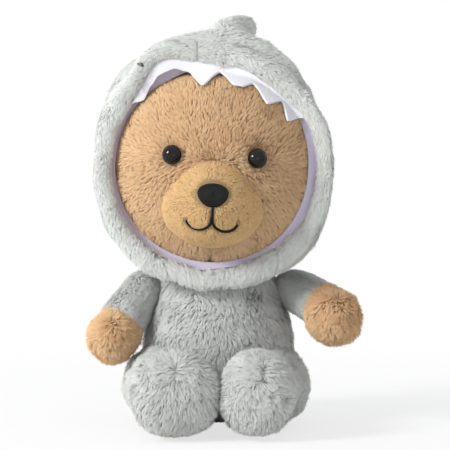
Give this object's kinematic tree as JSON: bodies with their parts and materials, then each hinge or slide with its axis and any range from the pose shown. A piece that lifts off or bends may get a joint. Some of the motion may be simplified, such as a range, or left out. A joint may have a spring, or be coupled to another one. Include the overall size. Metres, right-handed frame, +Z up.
{
  "type": "plush toy",
  "caption": "Seated plush teddy bear in a shark costume: stuffed body, hood with a dorsal fin and felt teeth, soft limbs and neck that bend and stay",
  "frame": {"origin": "on the surface that the toy sits on, under the front half of its seat", "axes": "+Z up through the head, -Y the way the bear faces and its feet point, +X to its left hand, which is the right of a viewer who faces it"},
  "size_m": [0.2, 0.169, 0.2976],
  "materials": {
    "hood_fur": "light grey plush, short wavy pile, matt",
    "body_fur": "light grey plush, long straight pile, matt",
    "seat_fabric": "light grey plush, short pile pressed flat",
    "tan_fur": "warm tan plush, long pile with darker roots, matt",
    "muzzle_fur": "cream short-pile plush, matt",
    "embroidery": "black satin-stitch thread, slight sheen",
    "eye": "black-brown polished plastic dome",
    "washer": "white plastic lock washer",
    "lining": "lavender smooth knit lining",
    "felt": "white felt, matt",
    "stuffing": "polyester fibre filling",
    "pellets": "cloth pouch filled with plastic pellets"
  },
  "bodies": {
    "torso": {"torso_front": "body_fur", "torso_back": "body_fur", "seat_panel": "seat_fabric", "torso_stuffing": "stuffing", "pellet_pouch": "pellets"},
    "neck": {"neck_stuffing": "stuffing"},
    "head": {"face_left": "tan_fur", "face_right": "tan_fur", "head_back": "tan_fur", "head_stuffing": "stuffing", "muzzle_cover": "muzzle_fur", "muzzle_stuffing": "stuffing", "nose": "embroidery", "mouth": "embroidery", "eye_left": "eye", "eye_right": "eye", "eye_washer_left": "washer", "eye_washer_right": "washer", "hood_left": "hood_fur", "hood_right": "hood_fur", "hood_padding": "stuffing", "hood_lining": "lining", "hood_brim": "hood_fur", "tooth_strip": "felt", "shark_eye_left": "eye", "shark_eye_right": "eye"},
    "fin": {"fin_cover": "hood_fur", "fin_stuffing": "stuffing"},
    "shoulder_left": {"shoulder_stuffing_left": "stuffing"},
    "arm_left": {"sleeve_left": "body_fur", "cuff_left": "body_fur", "paw_left": "tan_fur", "arm_stuffing_left": "stuffing"},
    "hip_left": {"hip_stuffing_left": "stuffing"},
    "leg_left": {"leg_cover_left": "body_fur", "sole_left": "body_fur", "leg_stuffing_left": "stuffing"},
    "shoulder_right": {"shoulder_stuffing_right": "stuffing"},
    "arm_right": {"sleeve_right": "body_fur", "cuff_right": "body_fur", "paw_right": "tan_fur", "arm_stuffing_right": "stuffing"},
    "hip_right": {"hip_stuffing_right": "stuffing"},
    "leg_right": {"leg_cover_right": "body_fur", "sole_right": "body_fur", "leg_stuffing_right": "stuffing"}
  },
  "joints": [
    {"name": "head_turn", "type": "hinge", "parent": "torso", "child": "neck", "pos_m": [0, 0.012, 0.092], "axis": [0, 0, 1], "range_deg": [-30, 30]},
    {"name": "head_nod", "type": "hinge", "parent": "neck", "child": "head", "pos_m": [0, 0.012, 0.092], "axis": [-1, 0, 0], "range_deg": [-8, 15]},
    {"name": "fin_flop", "type": "hinge", "parent": "head", "child": "fin", "pos_m": [0.00034, 0.03662, 0.27303], "axis": [-0.0269, 0.788, -0.6151], "range_deg": [-48, 10]},
    {"name": "arm_left_swing", "type": "hinge", "parent": "torso", "child": "shoulder_left", "pos_m": [-0.0555, 0.008, 0.0975], "axis": [-1, 0, 0], "range_deg": [-25, 50]},
    {"name": "arm_left_raise", "type": "hinge", "parent": "shoulder_left", "child": "arm_left", "pos_m": [-0.0555, 0.008, 0.0975], "axis": [0, 1, 0], "range_deg": [0, 50]},
    {"name": "arm_right_swing", "type": "hinge", "parent": "torso", "child": "shoulder_right", "pos_m": [0.053, 0.008, 0.0975], "axis": [-1, 0, 0], "range_deg": [-35, 20]},
    {"name": "arm_right_lower", "type": "hinge", "parent": "shoulder_right", "child": "arm_right", "pos_m": [0.053, 0.008, 0.0975], "axis": [0, 1, 0], "range_deg": [-12, 30]},
    {"name": "leg_left_lift", "type": "hinge", "parent": "torso", "child": "hip_left", "pos_m": [-0.038, -0.005, 0.0297], "axis": [-1, 0, 0], "range_deg": [-60, 12]},
    {"name": "leg_left_spread", "type": "hinge", "parent": "hip_left", "child": "leg_left", "pos_m": [-0.038, -0.005, 0.0297], "axis": [0, 0, -1], "range_deg": [0, 22]},
    {"name": "leg_right_lift", "type": "hinge", "parent": "torso", "child": "hip_right", "pos_m": [0.033, -0.005, 0.0297], "axis": [-1, 0, 0], "range_deg": [-60, 12]},
    {"name": "leg_right_spread", "type": "hinge", "parent": "hip_right", "child": "leg_right", "pos_m": [0.033, -0.005, 0.0297], "axis": [0, 0, 1], "range_deg": [0, 22]}
  ]
}
